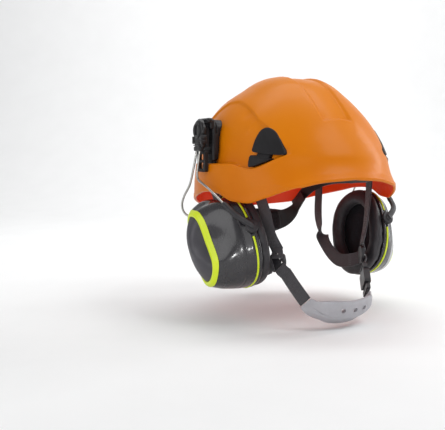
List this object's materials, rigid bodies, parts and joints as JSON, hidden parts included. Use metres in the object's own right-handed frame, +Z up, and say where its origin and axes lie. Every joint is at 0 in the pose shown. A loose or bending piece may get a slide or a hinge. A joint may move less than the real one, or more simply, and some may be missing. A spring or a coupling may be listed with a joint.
{
  "type": "forestry helmet",
  "caption": "Hard-shell work helmet for tree work with head suspension, nape ratchet, chin strap and fold-out ear muffs on wire arms.",
  "frame": {"origin": "on the wearer's head axis, level with the front edge of the brim, where the head rises into the shell", "axes": "-Y towards the front of the helmet, +X towards the wearer's left, +Z up to the crown"},
  "size_m": [0.274, 0.2601, 0.2749],
  "materials": {
    "shell_orange": "smooth moulded ABS, satin gloss",
    "black_plastic": "fine spark texture",
    "cup_grey": "dark grey moulded ABS, semi gloss",
    "cup_face_grey": "softly textured moulded panel",
    "lime_accent": "bright yellow-green moulded accent",
    "steel_wire": "drawn stainless spring wire",
    "webbing": "woven polyester webbing",
    "harness_plastic": "flexible polyethylene moulding",
    "foam": "open-cell acoustic foam",
    "padding": "knitted mesh over foam",
    "cushion_vinyl": "soft vinyl film over foam",
    "chin_rubber": "moulded grey elastomer",
    "button_orange": "moulded orange button"
  },
  "bodies": {
    "root": {"shell": "shell_orange", "accessory_plug_right": "black_plastic", "accessory_plug_left": "black_plastic", "crown_strap_a": "webbing", "crown_strap_b": "webbing", "crown_pad": "padding", "suspension_clip_front_right": "harness_plastic", "suspension_clip_front_left": "harness_plastic", "suspension_clip_rear_right": "harness_plastic", "suspension_clip_rear_left": "harness_plastic", "headband": "harness_plastic", "sweatband": "padding", "front_strap_right": "webbing", "rear_strap_right": "webbing", "strap_divider_right": "black_plastic", "mount_base_right": "black_plastic", "mount_latch_right": "black_plastic", "front_strap_left": "webbing", "rear_strap_left": "webbing", "strap_divider_left": "black_plastic", "mount_base_left": "black_plastic", "mount_latch_left": "black_plastic"},
    "nape_cradle": {"nape_cradle": "harness_plastic", "ratchet_housing": "harness_plastic", "ratchet_cover": "harness_plastic", "nape_pad": "padding"},
    "ratchet_knob": {"ratchet_knob": "black_plastic", "ratchet_pinion": "harness_plastic"},
    "rack_left": {"rack_left": "harness_plastic"},
    "rack_right": {"rack_right": "harness_plastic"},
    "chin_assembly": {"chin_strap_right": "webbing", "chin_strap_left": "webbing", "chin_cup": "chin_rubber", "buckle_socket": "black_plastic", "strap_slider": "black_plastic"},
    "buckle_tongue": {"buckle_tongue": "black_plastic"},
    "buckle_button": {"buckle_button": "button_orange"},
    "arm_carrier_right": {"arm_carrier_right": "black_plastic"},
    "arm_right": {"arm_hub_right": "black_plastic", "wire_arm_right": "steel_wire"},
    "sleeves_right": {"sleeve_front_right": "black_plastic", "sleeve_rear_right": "black_plastic"},
    "cup_right": {"cup_shell_right": "cup_grey", "cup_face_right": "cup_face_grey", "accent_ring_outer_right": "lime_accent", "accent_ring_inner_right": "lime_accent", "foam_liner_right": "foam", "cushion_right": "cushion_vinyl"},
    "arm_carrier_left": {"arm_carrier_left": "black_plastic"},
    "arm_left": {"arm_hub_left": "black_plastic", "wire_arm_left": "steel_wire"},
    "sleeves_left": {"sleeve_front_left": "black_plastic", "sleeve_rear_left": "black_plastic"},
    "cup_left": {"cup_shell_left": "cup_grey", "cup_face_left": "cup_face_grey", "accent_ring_outer_left": "lime_accent", "accent_ring_inner_left": "lime_accent", "foam_liner_left": "foam", "cushion_left": "cushion_vinyl"}
  },
  "joints": [
    {"name": "nape_slide", "type": "slide", "parent": "root", "child": "nape_cradle", "axis": [0, -1, 0], "range_m": [0, 0.014]},
    {"name": "knob_turn", "type": "hinge", "parent": "nape_cradle", "child": "ratchet_knob", "pos_m": [0, 0.118, -0.064], "axis": [0, 1, 0], "range_deg": [0, 115]},
    {"name": "rack_left_slide", "type": "slide", "parent": "nape_cradle", "child": "rack_left", "axis": [-1, 0, 0], "range_m": [0, 0.0141]},
    {"name": "rack_right_slide", "type": "slide", "parent": "nape_cradle", "child": "rack_right", "axis": [1, 0, 0], "range_m": [0, 0.0141]},
    {"name": "arm_fold_right", "type": "hinge", "parent": "root", "child": "arm_carrier_right", "pos_m": [-0.1086, 0.008, 0.0625], "axis": [0, 1, 0], "range_deg": [0, 30]},
    {"name": "arm_swing_right", "type": "hinge", "parent": "arm_carrier_right", "child": "arm_right", "pos_m": [-0.112, 0.008, 0.047], "axis": [1, 0, 0], "range_deg": [-1.2, 1.2]},
    {"name": "cup_height_right", "type": "slide", "parent": "arm_right", "child": "sleeves_right", "axis": [0, -0.12, -0.9928], "range_m": [0, 0.016]},
    {"name": "cup_tilt_right", "type": "hinge", "parent": "sleeves_right", "child": "cup_right", "pos_m": [-0.08877, -0.02783, -0.06862], "axis": [0.0611, 0.9205, -0.3859], "range_deg": [-4, 4]},
    {"name": "arm_fold_left", "type": "hinge", "parent": "root", "child": "arm_carrier_left", "pos_m": [0.1086, 0.008, 0.0625], "axis": [0, -1, 0], "range_deg": [0, 30]},
    {"name": "arm_swing_left", "type": "hinge", "parent": "arm_carrier_left", "child": "arm_left", "pos_m": [0.112, 0.008, 0.047], "axis": [1, 0, 0], "range_deg": [-1.2, 1.2]},
    {"name": "cup_height_left", "type": "slide", "parent": "arm_left", "child": "sleeves_left", "axis": [0, -0.12, -0.9928], "range_m": [0, 0.016]},
    {"name": "cup_tilt_left", "type": "hinge", "parent": "sleeves_left", "child": "cup_left", "pos_m": [0.08877, -0.02783, -0.06862], "axis": [0.0611, -0.9205, 0.3859], "range_deg": [-4, 4]},
    {"name": "chin_swing", "type": "hinge", "parent": "root", "child": "chin_assembly", "pos_m": [0, -0.067, -0.092], "axis": [1, 0, 0], "range_deg": [-12, 18]},
    {"name": "tongue_slide", "type": "slide", "parent": "chin_assembly", "child": "buckle_tongue", "axis": [0.2983, 0.5785, 0.7592], "range_m": [0, 0.003]},
    {"name": "button_press", "type": "slide", "parent": "chin_assembly", "child": "buckle_button", "axis": [-0.8988, 0.4379, 0.0195], "range_m": [0, 0.0016], "stiffness_N_per_m": 40}
  ],
  "couplings": [
    {"joint": "knob_turn", "follows": "nape_slide", "rad_per_m": 142.86},
    {"joint": "rack_left_slide", "follows": "nape_slide", "ratio": 1},
    {"joint": "rack_right_slide", "follows": "nape_slide", "ratio": 1}
  ]
}
